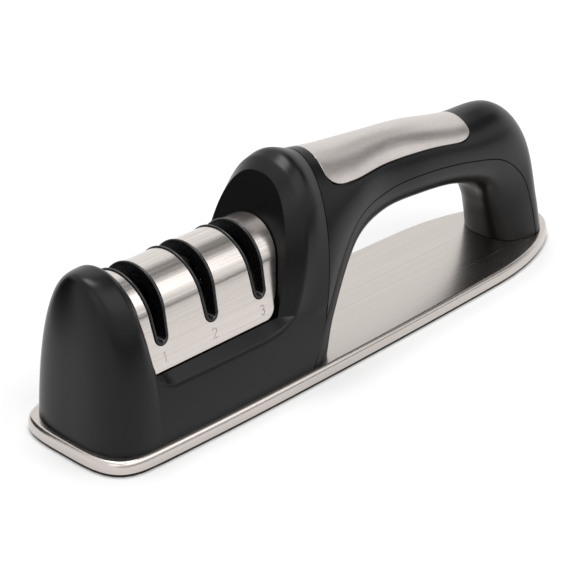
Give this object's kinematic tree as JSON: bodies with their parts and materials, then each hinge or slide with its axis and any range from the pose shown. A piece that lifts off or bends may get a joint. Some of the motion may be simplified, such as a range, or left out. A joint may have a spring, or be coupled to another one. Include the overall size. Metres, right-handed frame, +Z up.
{
  "type": "knife sharpener",
  "caption": "Pull-through kitchen knife sharpener: lipped slots in a steel-clad head over carbide plates and turning wheels, with a loop handle on a steel base plate.",
  "frame": {"origin": "middle of the sole's underside, on the table", "axes": "+X along the length from the slotted head to the handle's rear leg, +Y across the width, +Z up"},
  "size_m": [0.2397, 0.054, 0.075],
  "materials": {
    "black_abs": "satin black ABS",
    "brushed_steel": "brushed along the length",
    "satin_steel": "fine satin grain",
    "black_rubber": "matt",
    "zinc_steel": "zinc plated",
    "carbide": "ground tungsten carbide",
    "diamond_grit": "diamond grit on steel",
    "white_ceramic": "matt sintered ceramic"
  },
  "bodies": {
    "sharpener": {"base_plate": "brushed_steel", "sole_pad": "black_rubber", "head_housing": "black_abs", "steel_cover": "brushed_steel", "slot_core": "black_abs", "stage_carrier": "black_abs", "carbide_plate_front": "carbide", "carbide_plate_rear": "carbide", "carbide_rivet": "zinc_steel", "handle_shell": "black_abs", "handle_liner": "black_abs", "grip_inlay": "satin_steel", "head_screw_1": "zinc_steel", "head_screw_2": "zinc_steel", "head_screw_3": "zinc_steel", "head_screw_4": "zinc_steel", "leg_screw_1": "zinc_steel", "leg_screw_2": "zinc_steel", "tail_screw_1": "zinc_steel", "carrier_screw_1": "zinc_steel", "carrier_screw_2": "zinc_steel"},
    "diamond_wheels": {"diamond_axle": "zinc_steel", "diamond_wheel_front": "diamond_grit", "diamond_wheel_rear": "diamond_grit"},
    "ceramic_wheels": {"ceramic_axle": "zinc_steel", "ceramic_wheel_front": "white_ceramic", "ceramic_wheel_rear": "white_ceramic"}
  },
  "joints": [
    {"name": "diamond_wheels_spin", "type": "hinge", "parent": "sharpener", "child": "diamond_wheels", "pos_m": [-0.0695, 0, 0.031], "axis": [1, 0, 0], "continuous": true},
    {"name": "ceramic_wheels_spin", "type": "hinge", "parent": "sharpener", "child": "ceramic_wheels", "pos_m": [-0.0479, 0, 0.031], "axis": [1, 0, 0], "continuous": true}
  ]
}
